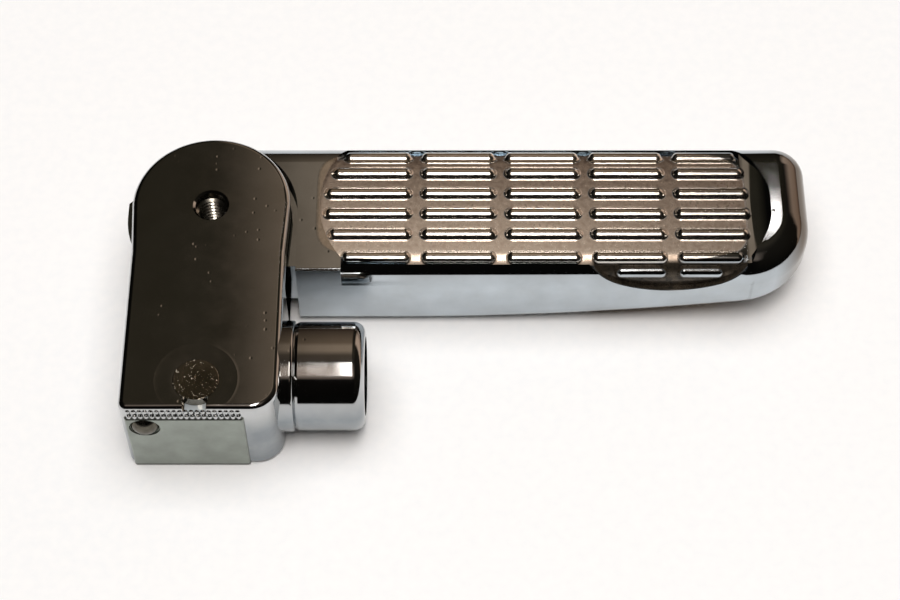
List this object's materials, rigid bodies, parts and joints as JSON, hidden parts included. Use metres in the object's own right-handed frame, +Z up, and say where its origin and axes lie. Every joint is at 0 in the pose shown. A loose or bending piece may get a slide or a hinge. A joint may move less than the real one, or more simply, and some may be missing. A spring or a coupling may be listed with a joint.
{
  "type": "folding passenger footrest",
  "caption": "Folding motorbike passenger footrest: a chromed fork with a side mounting boss, and a ribbed peg that swings on a pivot between its cheeks.",
  "frame": {"origin": "on the axis of the mounting bore, at the back of the arm, half way up its thickness", "axes": "+X along the mounting bore towards the tip of the peg, +Z up along the pivot axis with the ribbed tread on top"},
  "size_m": [0.129, 0.0619, 0.0208],
  "materials": {
    "chrome": "bright chrome plate over a casting, lightly pitted",
    "worn_chrome": "peened and scuffed chrome",
    "dull_nickel": "satin nickel plate",
    "dark_steel": "blackened steel",
    "plated_steel": "zinc plate",
    "bronze": "plain bearing bronze"
  },
  "bodies": {
    "bracket": {"fork": "chrome", "end_block": "dull_nickel", "block_rivet": "worn_chrome", "block_screw": "dark_steel", "pivot_sleeve": "plated_steel", "pivot_screw": "plated_steel", "disc_spring": "plated_steel"},
    "peg": {"peg": "chrome", "upper_bush": "bronze", "lower_bush": "bronze"}
  },
  "joints": [
    {"name": "peg_fold", "type": "hinge", "parent": "bracket", "child": "peg", "pos_m": [0.0143, 0.031, 0], "axis": [0, 0, 1], "range_deg": [0, 90]}
  ]
}
